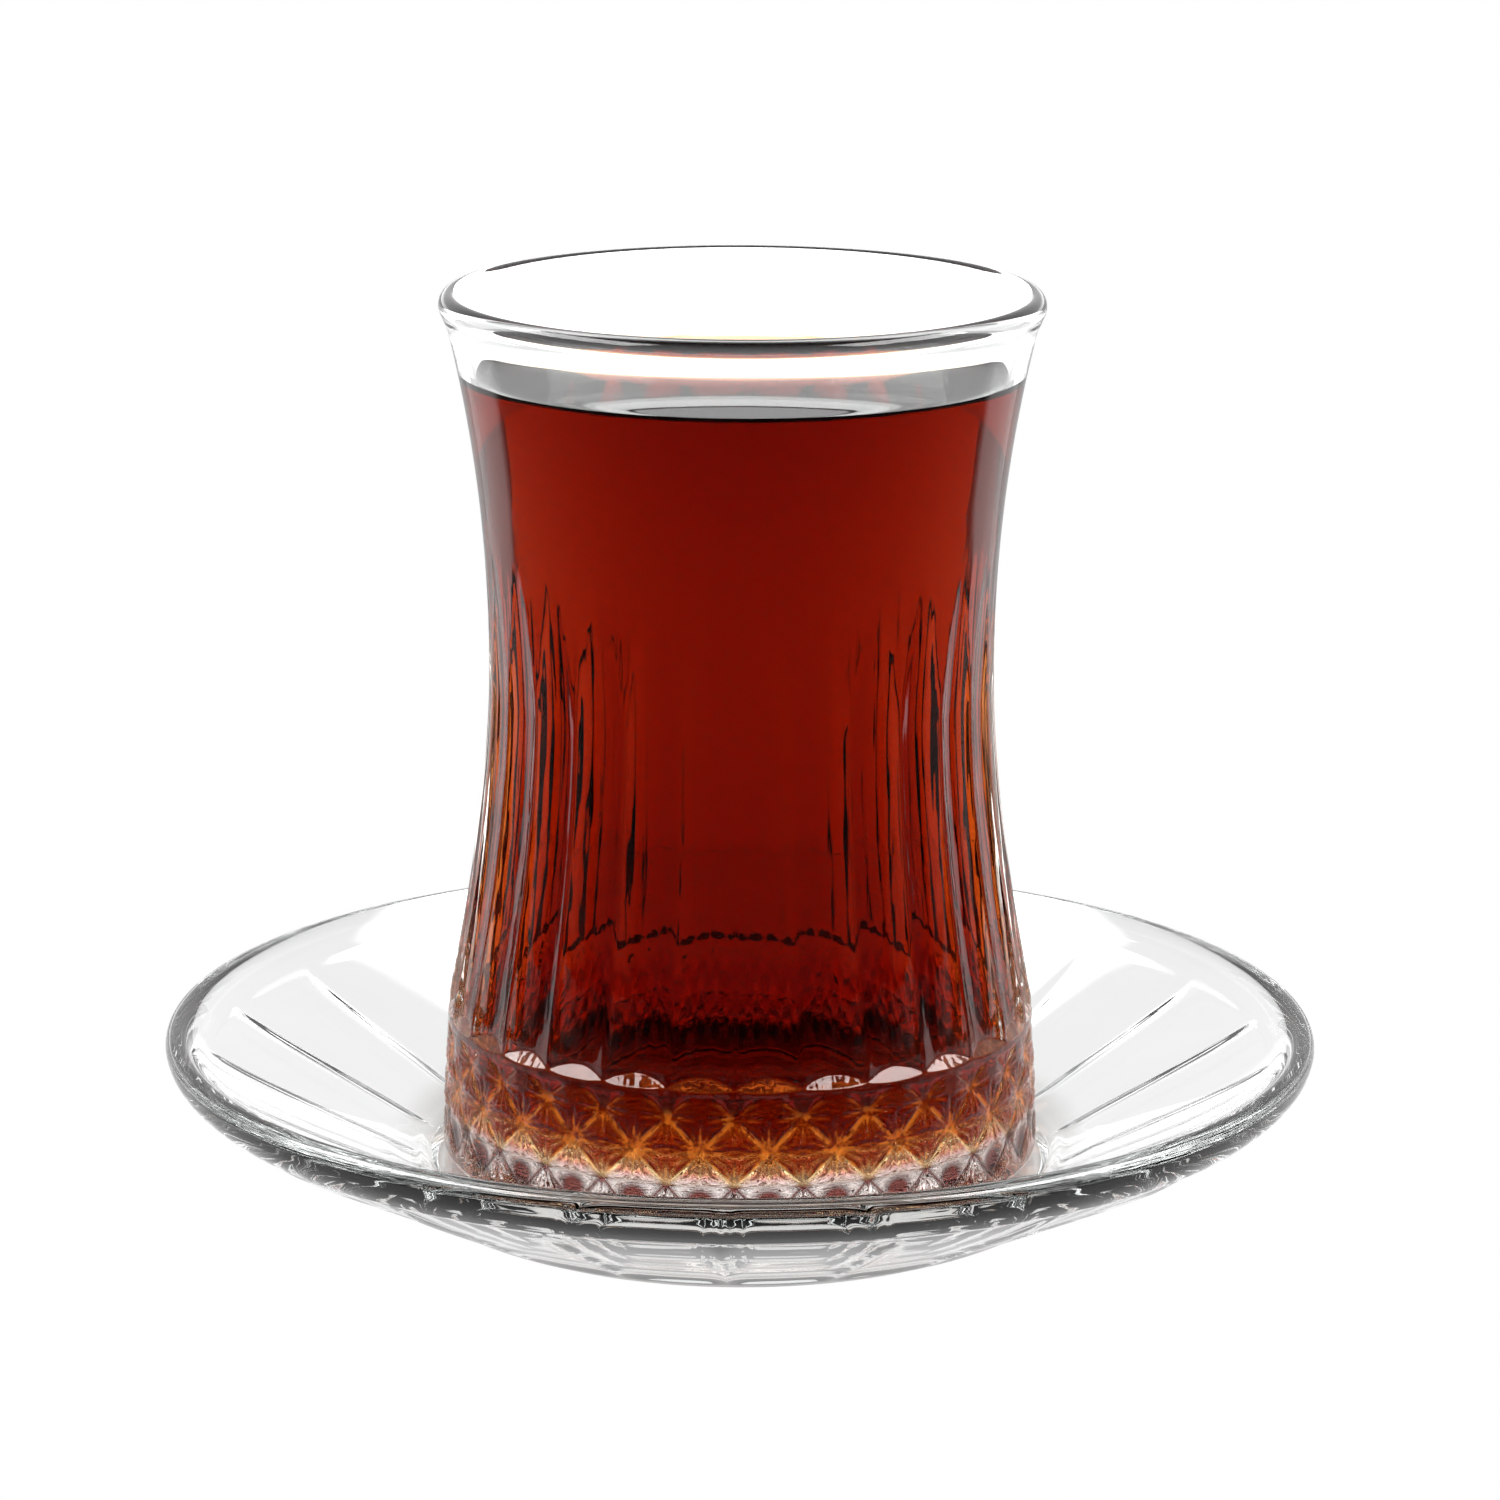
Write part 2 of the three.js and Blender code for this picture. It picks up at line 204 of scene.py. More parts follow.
# %% Outline of the wall and the cavity
FOOT_RADIUS, FOOT_HEIGHT, FOOT_ROUND = 30.3, 9.6, 1.4
SHOULDER_RADIUS, SHOULDER_HEIGHT, SHOULDER_SLOPE = 29.6, 20.8, -0.19
WAIST_RADIUS, WAIST_HEIGHT = 25.3, 56.5
NECK_RADIUS, NECK_HEIGHT, NECK_FLARE = 29.3, 90.0, 0.24
BELLY_RADIUS, BELLY_HEIGHT, BELLY_SLOPE = 25.8, 13.5, -0.02
CAVITY_WAIST, CAVITY_NECK, CAVITY_FLOOR = 23.4, 27.7, 8.4
CAVITY_CORNER = 0.4


def wall_radius(z):
    """Outer radius: a cone up to the shoulder, a cubic to the waist, one to the neck."""
    z = np.asarray(z, float)
    t = np.clip((z - FOOT_HEIGHT) / (SHOULDER_HEIGHT - FOOT_HEIGHT), 0, 1)
    cone = FOOT_RADIUS + (SHOULDER_RADIUS - FOOT_RADIUS) * t
    span = WAIST_HEIGHT - SHOULDER_HEIGHT
    t = (z - SHOULDER_HEIGHT) / span
    waist = hermite(t, SHOULDER_RADIUS, SHOULDER_SLOPE * span, WAIST_RADIUS, 0)
    span = NECK_HEIGHT - WAIST_HEIGHT
    t = (z - WAIST_HEIGHT) / span
    neck = hermite(t, WAIST_RADIUS, 0, NECK_RADIUS, NECK_FLARE * span)
    return np.where(z < SHOULDER_HEIGHT, cone, np.where(z < WAIST_HEIGHT, waist, neck))


def cavity_radius(z):
    """Inner radius above the rounded bottom: a cubic to the waist and one to the neck."""
    z = np.asarray(z, float)
    span = WAIST_HEIGHT - BELLY_HEIGHT
    t = (z - BELLY_HEIGHT) / span
    belly = hermite(t, BELLY_RADIUS, BELLY_SLOPE * span, CAVITY_WAIST, 0)
    span = NECK_HEIGHT - WAIST_HEIGHT
    t = (z - WAIST_HEIGHT) / span
    neck = hermite(t, CAVITY_WAIST, 0, CAVITY_NECK, NECK_FLARE * span)
    return np.where(z < WAIST_HEIGHT, belly, neck)


def cavity_bottom(steps, reach):
    """A quarter of a superellipse from the axis out to the belly, reach mm larger than
    the cavity: radius goes with a power of sine below 1 and depth with that of cosine."""
    a = np.linspace(0, np.pi / 2, steps + 1)[1:]
    r = (BELLY_RADIUS + reach) * np.sin(a) ** CAVITY_CORNER
    depth = BELLY_HEIGHT - CAVITY_FLOOR + reach
    z = BELLY_HEIGHT - depth * np.maximum(np.cos(a), 0) ** CAVITY_CORNER
    return np.stack([r, z], 1)


print("waist", 2 * float(wall_radius(WAIST_HEIGHT)), "mm across")

# %% [markdown]
# ## Star cuts
#
# The band round the foot is covered in stars. V-shaped grooves run slantwise from each star
# to the nodes, the points midway between stars above and below. A shallow pair of grooves
# links the stars level, fine rays fill each star and each node, and a round dish lies below
# each star. The wall is lowered at every point by the deepest cut that passes there.

# %% Depth of the star cuts
REPEATS = 28
STAR_TURN = math.radians(-7.27)
STAR_HEIGHT, HALF_CELL = 13.3, 3.4
SLANT_DEPTH, SLANT_HALF_WIDTH = 0.4, 0.55
LEVEL_DEPTH, LEVEL_HALF_WIDTH, LEVEL_HALF_GAP = 0.26, 0.32, 0.3
RAY_FADE = 0.6
CROSS, SPOKES = (0, 90), (22.5, 67.5, 112.5, 157.5)
FINE_SPOKES = (11, 34, 56, 79, 101, 124, 146, 169)
# Each set of rays: directions in degrees, then length, depth and half width in mm
STAR_RAYS = ((CROSS, 3.3, 0.5, 0.42), (SPOKES, 3.1, 0.44, 0.36), (FINE_SPOKES, 2.7, 0.34, 0.28))
NODE_RAYS = ((CROSS, 2.8, 0.46, 0.4), (SPOKES, 2.6, 0.4, 0.34))
DISH_HEIGHT, DISH_DEPTH, DISH_HALF_WIDTH, DISH_HALF_HEIGHT = 8.4, 0.45, 2.7, 2.3


def v_groove(depth, distance, half_width):
    """Depth falls evenly from the groove's line to nothing at half its width."""
    return np.maximum(0, depth * (1 - distance / half_width))


def ray_set(across, up, directions, length, depth, half_width):
    """Rays from a centre: the distance to each ray's line is |x sin - y cos|, and the
    depth fades from the centre out to the ray's length, with a power of what is left."""
    away = np.hypot(across, up)
    total = np.zeros_like(away)
    for degrees in directions:
        s, c = math.sin(math.radians(degrees)), math.cos(math.radians(degrees))
        fade = np.clip(1 - away / length, 0, 1) ** RAY_FADE
        line = np.abs(across * s - up * c)
        total = np.maximum(total, v_groove(depth * fade, line, half_width))
    return total


def star_cut(a, z):
    """Deepest of the slanting grooves, the level pair, the rays of stars and nodes, and a
    round dish under each star: dish depth times 1 - (x / width)^2 - (y / height)^2."""
    across = (a - STAR_TURN) / (math.pi / REPEATS)
    up = (z - STAR_HEIGHT) / HALF_CELL
    slant = HALF_CELL / math.sqrt(2)
    rising = np.abs(wrapped(across - up, 1)) * slant
    falling = np.abs(wrapped(across + up, 1)) * slant
    x = wrapped(across, 1) * HALF_CELL
    y = np.full_like(x, z - STAR_HEIGHT)
    node_x = wrapped(across - 1, 1) * HALF_CELL
    node_y = np.full_like(x, wrapped(up - 1, 1) * HALF_CELL)
    dish_y = (z - DISH_HEIGHT) / DISH_HALF_HEIGHT
    cuts = [
        v_groove(SLANT_DEPTH, np.minimum(rising, falling), SLANT_HALF_WIDTH),
        v_groove(LEVEL_DEPTH, np.abs(np.abs(y) - LEVEL_HALF_GAP), LEVEL_HALF_WIDTH),
        DISH_DEPTH * (1 - (x / DISH_HALF_WIDTH) ** 2 - dish_y**2),
    ]
    cuts += [ray_set(x, y, *rays) for rays in STAR_RAYS]
    cuts += [ray_set(node_x, node_y, *rays) for rays in NODE_RAYS]
    return np.maximum.reduce(cuts)


# %% [markdown]
# ## Flutes and ledges
#
# Above the stars come upright flutes, hollows of round section that meet in sharp ridges.
# At the waist each one rises out of the wall in an arch. At the bottom it ends on a small
# slanting ledge, a flat facet, so its outline is a lens: the lower edge is where the facet
# meets the round wall, and the upper edge is where it meets the hollow.

# %% Depth of the flutes and ledges
FLUTE_ROUND, FLUTE_LOW, FLUTE_WAIST = 6.0, 0.95, 0.7
FLUTE_FULL, FLUTE_TOP, ARCH_POWER = 53.0, 69.0, 1.5
LEDGE_LOW, LEDGE_SLOPE = 19.3, 0.75


def flute_cut(a, z):
    """Middle depth minus the square of the distance across over twice the hollow's
    radius. From its full height to its top, the middle depth fades to nothing by a power.
    Below, it is no deeper than the ledge's facet: slope times height above the ledge's
    foot, less what the wall falls away from a flat facet."""
    turn = wrapped(a - STAR_TURN, math.pi / REPEATS)
    radius = wall_radius(z)
    full = (z - SHOULDER_HEIGHT) / (FLUTE_FULL - SHOULDER_HEIGHT)
    low = FLUTE_LOW + (FLUTE_WAIST - FLUTE_LOW) * full
    rise = np.clip((FLUTE_TOP - z) / (FLUTE_TOP - FLUTE_FULL), 0, 1)
    middle = np.where(z < FLUTE_FULL, low, FLUTE_WAIST * rise**ARCH_POWER)
    hollow = middle - (turn * radius) ** 2 / (2 * FLUTE_ROUND)
    ledge = LEDGE_SLOPE * (z - LEDGE_LOW) - radius * turn**2 / 2
    return np.maximum(0, np.minimum(hollow, ledge))


# %% [markdown]
# ## The glass, from its foot over the lip to the inside
#
# The rings of the star band are as far apart as their columns, and both fit the pattern, so
# the slanting grooves run exactly through the points of the grid. The mesh also keeps the
# depth of the star cuts, because the painted light in their colour will be led by it.

# %% Make the glass
STAR_COLUMNS, FLUTE_COLUMNS, PLAIN_COLUMNS = REPEATS * 32, REPEATS * 16, REPEATS * 4
REST = 4.5
STAR_STEP = HALF_CELL / 16
STAR_RINGS_BELOW, STAR_RINGS_ABOVE = 34, 24
BAND_BOTTOM, BOTTOM_FADE, BAND_TOP, TOP_FADE = 6.0, 1.0, 18.75, 0.5
LEDGE_TOP, LEDGE_STEP = 21.6, 0.12
FLUTE_ROWS = (21.8, 52.0, 20)
ARCH_ROWS = (53.0, 69.4, 22)
NECK_ROWS = (70.2, NECK_HEIGHT - 0.8, 22)
TEA_LEVEL, WETTING_RISE = 84.4, 0.7
WETTED_TOP = TEA_LEVEL + WETTING_RISE
DRY_ROWS = (NECK_HEIGHT - 0.6, WETTED_TOP + 0.5, 6)
WET_ROWS = (WETTED_TOP, BELLY_HEIGHT, 34)
LIP_RADIUS, LIP_HEIGHT, LIP_HALF_WIDTH, LIP_HALF_HEIGHT = 30.0, 91.6, 1.05, 1.3
LIP_FROM_DEGREES, LIP_TO_DEGREES, LIP_RINGS = -35, 174, 22
EDGE_RINGS, UNDER_STEPS, BOTTOM_RINGS = 7, 3, 18


def glass_rings():
    """Underside, foot edge, star band, ledges, flutes, neck, lip, cavity. Also the runs:
    material 2 under the foot, 3 on the star band, 0 on the rest of the outside and 1 where
    tea wets the wall. Also the depth of the star cuts in mm, 0 for every other ring. The
    star cuts fade out over the fade lengths at the top and the bottom of their band."""
    star_a = angles(STAR_COLUMNS, STAR_TURN)
    flute_a = angles(FLUTE_COLUMNS, STAR_TURN)
    rows = [ring(0, REST + 0.9, np.zeros(1))]
    under = [(6, REST + 0.88), (14, REST + 0.85), (21, REST + 0.8), (23.5, REST + 0.6)]
    under += [(25, REST + 0.15), (26.2, REST), (27.6, REST)]
    rows += rings_of(through(under, UNDER_STEPS), PLAIN_COLUMNS, STAR_TURN)
    band_from = len(rows) - UNDER_STEPS
    edge = FOOT_RADIUS - FOOT_ROUND
    for a in np.linspace(-math.pi / 2, 0, EDGE_RINGS):
        z = REST + FOOT_ROUND * (1 + math.sin(a))
        rows.append(ring(edge + FOOT_ROUND * math.cos(a), z, flute_a))
    stars = {}
    lowest = STAR_HEIGHT - STAR_RINGS_BELOW * STAR_STEP
    highest = STAR_HEIGHT + (STAR_RINGS_ABOVE + 0.5) * STAR_STEP
    for z in np.arange(lowest, highest, STAR_STEP):
        depth = star_cut(star_a, z) * smooth((BAND_TOP - z) / TOP_FADE)
        depth = depth * smooth((z - BAND_BOTTOM) / BOTTOM_FADE)
        stars[len(rows)] = depth
        rows.append(ring(wall_radius(z) - depth, z, star_a))
    plain_from = len(rows)
    levels = [np.arange(BAND_TOP, LEDGE_TOP, LEDGE_STEP)]
    levels += [np.linspace(*FLUTE_ROWS), np.linspace(*ARCH_ROWS)]
    for z in np.concatenate(levels):
        rows.append(ring(wall_radius(z) - flute_cut(flute_a, z), z, flute_a))
    heights = np.linspace(*NECK_ROWS)
    neck = np.stack([wall_radius(heights), heights], 1)
    a = np.radians(np.linspace(LIP_FROM_DEGREES, LIP_TO_DEGREES, LIP_RINGS))
    lip = np.stack([LIP_HALF_WIDTH * np.cos(a), LIP_HALF_HEIGHT * np.sin(a)], 1)
    lip += [LIP_RADIUS - LIP_HALF_WIDTH, LIP_HEIGHT]
    heights = np.linspace(*DRY_ROWS)
    dry = np.stack([cavity_radius(heights), heights], 1)
    rows += rings_of(np.vstack([neck, lip, dry]), PLAIN_COLUMNS, STAR_TURN)
    wetted_from = len(rows)
    heights = np.linspace(*WET_ROWS)
    wet = np.stack([cavity_radius(heights), heights], 1)
    profile = np.vstack([wet, cavity_bottom(BOTTOM_RINGS, 0)[::-1][1:]])
    rows += rings_of(profile, PLAIN_COLUMNS, STAR_TURN)
    rows.append(ring(0, CAVITY_FLOOR, np.zeros(1)))
    cuts = [stars.get(i, np.zeros(len(row))) for i, row in enumerate(rows)]
    return rows, ((0, 2), (band_from, 3), (plain_from, 0), (wetted_from, 1)), cuts


glass = closed_mesh("tea_glass_wall", *glass_rings())

# %% [markdown]
# ## The tea
#
# Liquid touches the glass with no air between. A surface that stopped at the wall would show
# a silvery gap, so the tea reaches a little into the glass. At the wall its surface climbs,
# because tea wets glass, and most of the rise dies away over about two millimetres. Close
# to its upper edge the rings are close together, or the shading there would go wrong.

# %% Make the tea
WETTING_WIDTH, WETTING_END, TEA_REACH = 1.6, 6, 0.15
SURFACE_RINGS, SURFACE_CROWDING = 26, 1.7
TEA_WALL_ROWS, TEA_WALL_TOP_GAP = 33, 1.2
NEAR_EDGE = (0.5, 0.2, 0.06)


def tea_rings():
    """The cavity's shape grown by the reach, closed by the surface: level plus a rise
    that shrinks exponentially with the distance from the wall and ends within 6 mm. The
    surface goes on into the glass, so that its shading is even up to the wall."""
    rows = [ring(0, CAVITY_FLOOR - TEA_REACH, np.zeros(1))]
    inside_glass = TEA_REACH * np.array([-1, -0.6, -0.3])
    spread = np.linspace(0, 1, SURFACE_RINGS) ** SURFACE_CROWDING
    off = np.concatenate([inside_glass, WETTING_END * spread])
    rise = WETTING_RISE * np.exp(-off / WETTING_WIDTH) * (1 - off / WETTING_END) ** 2
    top = np.stack([cavity_radius(WETTED_TOP) - off, TEA_LEVEL + rise], 1)
    near_edge = top[0, 1] - np.array(NEAR_EDGE)
    wall_top = top[0, 1] - TEA_WALL_TOP_GAP
    heights = np.append(np.linspace(BELLY_HEIGHT, wall_top, TEA_WALL_ROWS)[1:], near_edge)
    wall = np.stack([cavity_radius(heights) + TEA_REACH, heights], 1)
    profile = np.vstack([cavity_bottom(BOTTOM_RINGS, TEA_REACH), wall, top])
    rows += rings_of(profile, PLAIN_COLUMNS, STAR_TURN)
    rows.append(ring(0, TEA_LEVEL, np.zeros(1)))
    return rows


tea = closed_mesh("tea_fill", tea_rings())

# %% [markdown]
# ## The saucer
#
# The saucer is a shallow bowl with a rounded rim, a foot ring and a well that the glass
# stands in. Its upper side is smooth. Underneath it has broad shallow panels that meet in
# ridges, which show through the glass as thin grey lines.

# %% Make the saucer
RIBS, RIB_TURN = 21, math.radians(-87.5)
RIB_COLUMNS, SMOOTH_COLUMNS = RIBS * 20, RIBS * 10
BOWL_START, BOWL_END, BOWL_RISE, LIFT_SHARE, LIFT_POWER = 31.2, 58.3, 15.75, 0.14, 9
PANEL_DEPTH, PANEL_INNER, PANEL_OUTER, PANEL_POWER = 0.45, 34.0, 56.0, 6
SAUCER_WALL, WELL_FLOOR, RECESS = 4.2, 4.2, 1.6
UNDER_ROWS, BOWL_ROWS = (33.2, 55.2, 40), (54.5, 38.2, 24)
SAUCER_FOOT_STEPS, RIM_STEPS, WELL_STEPS = 3, 4, 4


def underside(r):
    """Height of the bowl's underside: a straight slope, with a share of the rise that
    comes only near the rim, by a high power."""
    t = (r - BOWL_START) / (BOWL_END - BOWL_START)
    return BOWL_RISE * ((1 - LIFT_SHARE) * t + LIFT_SHARE * t**LIFT_POWER)


def panel_hollow(a, r):
    """Height that a panel is hollowed: nothing at the ridges and full midway between them,
    by a power of the angle left to the middle, and faded out at both ends by the same
    power, so that the panel is nearly flat and its borders are steep."""
    from_rib = np.abs(wrapped(a - RIB_TURN, math.pi / RIBS)) / (math.pi / RIBS)
    along = np.clip((r - PANEL_INNER) / (PANEL_OUTER - PANEL_INNER), 0, 1)
    ends = 1 - (2 * along - 1) ** PANEL_POWER
    return PANEL_DEPTH * (1 - (1 - from_rib) ** PANEL_POWER) * ends


def saucer_rings():
    """Recess, foot ring, panelled underside, rim, bowl, well."""
    rows = [ring(0, RECESS, np.zeros(1))]
    foot = [(10, RECESS), (24.6, RECESS), (25.8, 1.2), (26.7, 0.4), (27.5, 0), (29.2, 0)]
    foot += [(30.7, 0), (31.4, 0.25), (32.4, 0.72)]
    rows += rings_of(through(foot, SAUCER_FOOT_STEPS), SMOOTH_COLUMNS, RIB_TURN)
    a = angles(RIB_COLUMNS, RIB_TURN)
    for r in np.linspace(*UNDER_ROWS):
        rows.append(ring(r, underside(r) + panel_hollow(a, r), a))
    rim = [(56.0, 13.2), (57.1, 14.2), (57.85, 15.2), (58.2, 16.1), (58.3, 16.9)]
    rim += [(57.95, 17.7), (57.1, 18.05), (56.2, 17.75), (55.0, 16.85)]
    rows += rings_of(through(rim, RIM_STEPS), SMOOTH_COLUMNS, RIB_TURN)
    r = np.linspace(*BOWL_ROWS)
    bowl = np.stack([r, underside(r) + SAUCER_WALL], 1)
    well = [(37.2, 7.2), (35.6, 6.35), (34.2, 5.65), (33.1, 5.1), (32.3, 4.6)]
    well += [(31.6, 4.27), (30.6, WELL_FLOOR), (20, WELL_FLOOR), (8, WELL_FLOOR)]
    profile = np.vstack([bowl, through(well, WELL_STEPS)])
    rows += rings_of(profile, SMOOTH_COLUMNS, RIB_TURN)
    rows.append(ring(0, WELL_FLOOR, np.zeros(1)))
    return rows


saucer = closed_mesh("ribbed_saucer", saucer_rings())

# %% [markdown]
# ## Small helpers for shader nodes
#
# Materials, floor and world are all node trees. Most of their nodes only do sums or mix two
# colours, so a few helpers make those and keep the trees short to read.


# %% Helpers for nodes
def math_node(nodes, links, operation, *values):
    """A Math node whose inputs are numbers or other nodes' outputs."""
    node = nodes.new("ShaderNodeMath")
    node.operation = operation
    for index, value in enumerate(values):
        if isinstance(value, (int, float)):
            node.inputs[index].default_value = value
        else:
            links.new(value, node.inputs[index])
    return node.outputs[0]


def plane_length(nodes, links, x, y):
    """Length of the vector (x, y)."""
    both, length = nodes.new("ShaderNodeCombineXYZ"), nodes.new("ShaderNodeVectorMath")
    length.operation = "LENGTH"
    links.new(x, both.inputs["X"])
    links.new(y, both.inputs["Y"])
    links.new(both.outputs[0], length.inputs[0])
    return length.outputs["Value"]


def smooth_range(nodes, links, value, low, high):
    """0 below low, 1 above high, with flat ends; low may be the larger one."""
    node = nodes.new("ShaderNodeMapRange")
    node.interpolation_type = "SMOOTHSTEP"
    node.inputs["From Min"].default_value = low
    node.inputs["From Max"].default_value = high
    links.new(value, node.inputs["Value"])
    return node.outputs["Result"]


def mix_colours(nodes, links, factor, a, b):
    """Colour a where the factor is 0 and b where it is 1. Each may be three numbers or
    another node's output."""
    node = nodes.new("ShaderNodeMix")
    node.data_type = "RGBA"
    links.new(factor, node.inputs["Factor"])
    for socket, value in (("A", a), ("B", b)):
        target = [s for s in node.inputs if s.name == socket and s.type == "RGBA"][0]
        if isinstance(value, tuple):
            target.default_value = (*value, 1)
        else:
            links.new(value, target)
    return [s for s in node.outputs if s.type == "RGBA"][0]


def grey(value):
    """The same value in red, green and blue."""
    return (value, value, value)


# %% [markdown]
# ## A shared effect: the ripple of pressed glass
#
# Glass that cools in a mould keeps faint waves, which bend what is seen through it. One
# node group makes them from two sizes of noise, and every clear material uses it with its
# own values through a Bump node.

# %% Node group for the ripple
FINE_SHARE, RIPPLE_FADE = 0.25, 0.012


def ripple_group():
    """Height = coarse noise plus a share of fine noise, both on object coordinates whose
    height is first multiplied by Upright, so that a small value draws the waves out. They
    fade out over the last 12 mm below Top."""
    group = bpy.data.node_groups.new("pressed_ripple", "ShaderNodeTree")
    face = group.interface
    face.new_socket("Vector", in_out="INPUT", socket_type="NodeSocketVector")
    sockets = (("Coarse Scale", 120), ("Fine Scale", 600), ("Upright", 1), ("Top", 1))
    for name, value in sockets:
        socket = face.new_socket(name, in_out="INPUT", socket_type="NodeSocketFloat")
        socket.default_value = value
    face.new_socket("Height", in_out="OUTPUT", socket_type="NodeSocketFloat")
    nodes, links = group.nodes, group.links
    entry, leave = nodes.new("NodeGroupInput"), nodes.new("NodeGroupOutput")
    factor, drawn = nodes.new("ShaderNodeCombineXYZ"), nodes.new("ShaderNodeVectorMath")
    factor.inputs["X"].default_value = factor.inputs["Y"].default_value = 1
    drawn.operation = "MULTIPLY"
    links.new(entry.outputs["Upright"], factor.inputs["Z"])
    links.new(entry.outputs["Vector"], drawn.inputs[0])
    links.new(factor.outputs[0], drawn.inputs[1])
    waves = {}
    for scale in ("Coarse Scale", "Fine Scale"):
        noise = nodes.new("ShaderNodeTexNoise")
        noise.inputs["Detail"].default_value = 1
        links.new(drawn.outputs[0], noise.inputs["Vector"])
        links.new(entry.outputs[scale], noise.inputs["Scale"])
        waves[scale] = noise.outputs["Fac"]
    both = (waves["Fine Scale"], FINE_SHARE, waves["Coarse Scale"])
    sums = math_node(nodes, links, "MULTIPLY_ADD", *both)
    split = nodes.new("ShaderNodeSeparateXYZ")
    links.new(entry.outputs["Vector"], split.inputs[0])
    below_top = math_node(nodes, links, "SUBTRACT", entry.outputs["Top"], split.outputs["Z"])
    fade = smooth_range(nodes, links, below_top, 0.0, RIPPLE_FADE)
    height = math_node(nodes, links, "MULTIPLY", fade, sums)
    links.new(height, leave.inputs["Height"])
    return group


ripple = ripple_group()
print("node group", ripple.name)

# %% [markdown]
# ## A shared effect: painted amber light in the star cuts
#
# The cuts catch light that has come through the tea's thin edge. Their lines glow amber,
# the lands between them stay dark red, and low down the round dishes are dark with a pale
# edge. Tracing every such path takes very long, so that light is painted into the wall's
# colour as a tint: painted amber light on the lines, painted dark red shade on the lands,
# painted shade in the dishes and a painted highlight at their edge. The tint is led by the
# depth of the cuts, which the mesh keeps as an attribute.

# %% Node group for the painted amber light
TINT_BORDER, GLINT_SCALE = 0.0015, 900
GLINT_NOISE, GLINT_DEPTH = (0.42, 0.6), (0.4, 1.0)


def painted_light_group():
    """Painted light as colour: clear above Top; below it, Land, a painted dark red shade, mixed
    with Line, painted amber light, by the cut's depth over Deep, and from Low downwards Edge,
    a painted pale highlight, mixed with Dish, a painted shade, by the same depth. Glint = a
    painted glint on the deepest lines of the stars, broken up by a noise. Heights change over
    the border."""
    group = bpy.data.node_groups.new("painted_amber_light_in_cuts", "ShaderNodeTree")
    face = group.interface
    face.new_socket("Vector", in_out="INPUT", socket_type="NodeSocketVector")
    for name, value in (("Cut", 0), ("Deep", 0.4), ("Top", 0.0178), ("Low", 0.0112)):
        socket = face.new_socket(name, in_out="INPUT", socket_type="NodeSocketFloat")
        socket.default_value = value
    for name in ("Clear", "Land", "Line", "Edge", "Dish"):
        face.new_socket(name, in_out="INPUT", socket_type="NodeSocketColor")
    face.new_socket("Colour", in_out="OUTPUT", socket_type="NodeSocketColor")
    face.new_socket("Glint", in_out="OUTPUT", socket_type="NodeSocketFloat")
    nodes, links = group.nodes, group.links
    entry, leave = nodes.new("NodeGroupInput"), nodes.new("NodeGroupOutput")
    split = nodes.new("ShaderNodeSeparateXYZ")
    links.new(entry.outputs["Vector"], split.inputs[0])
    depth = math_node(nodes, links, "DIVIDE", entry.outputs["Cut"], entry.outputs["Deep"])
    depth = smooth_range(nodes, links, depth, 0.0, 1.0)
    stars = mix_colours(nodes, links, depth, entry.outputs["Land"], entry.outputs["Line"])
    dishes = mix_colours(nodes, links, depth, entry.outputs["Edge"], entry.outputs["Dish"])
    below = math_node(nodes, links, "SUBTRACT", entry.outputs["Low"], split.outputs["Z"])
    below = smooth_range(nodes, links, below, 0.0, TINT_BORDER)
    foot = mix_colours(nodes, links, below, stars, dishes)
    inside = math_node(nodes, links, "SUBTRACT", entry.outputs["Top"], split.outputs["Z"])
    inside = smooth_range(nodes, links, inside, 0.0, TINT_BORDER)
    tint = mix_colours(nodes, links, inside, entry.outputs["Clear"], foot)
    links.new(tint, leave.inputs["Colour"])
    noise = nodes.new("ShaderNodeTexNoise")
    noise.inputs["Scale"].default_value = GLINT_SCALE
    links.new(entry.outputs["Vector"], noise.inputs["Vector"])
    glint = smooth_range(nodes, links, noise.outputs["Fac"], *GLINT_NOISE)
    deepest = smooth_range(nodes, links, depth, *GLINT_DEPTH)
    glint = math_node(nodes, links, "MULTIPLY", glint, deepest)
    glint = math_node(nodes, links, "MULTIPLY", glint, inside)
    upper = math_node(nodes, links, "SUBTRACT", 1, below)
    glint = math_node(nodes, links, "MULTIPLY", glint, upper)
    links.new(glint, leave.inputs["Glint"])
    return group


amber = painted_light_group()
print("node group", amber.name)

# %% [markdown]
# ## Clear materials
#
# Glass and tea are the same kind of material: a Principled surface that lets all light
# through, with a volume behind it that soaks some of it up. The volume gives the colour, so
# that a thick part is darker than a thin one. Shadow rays pass straight through, because
# clear glass casts hardly any shadow in a bright studio.


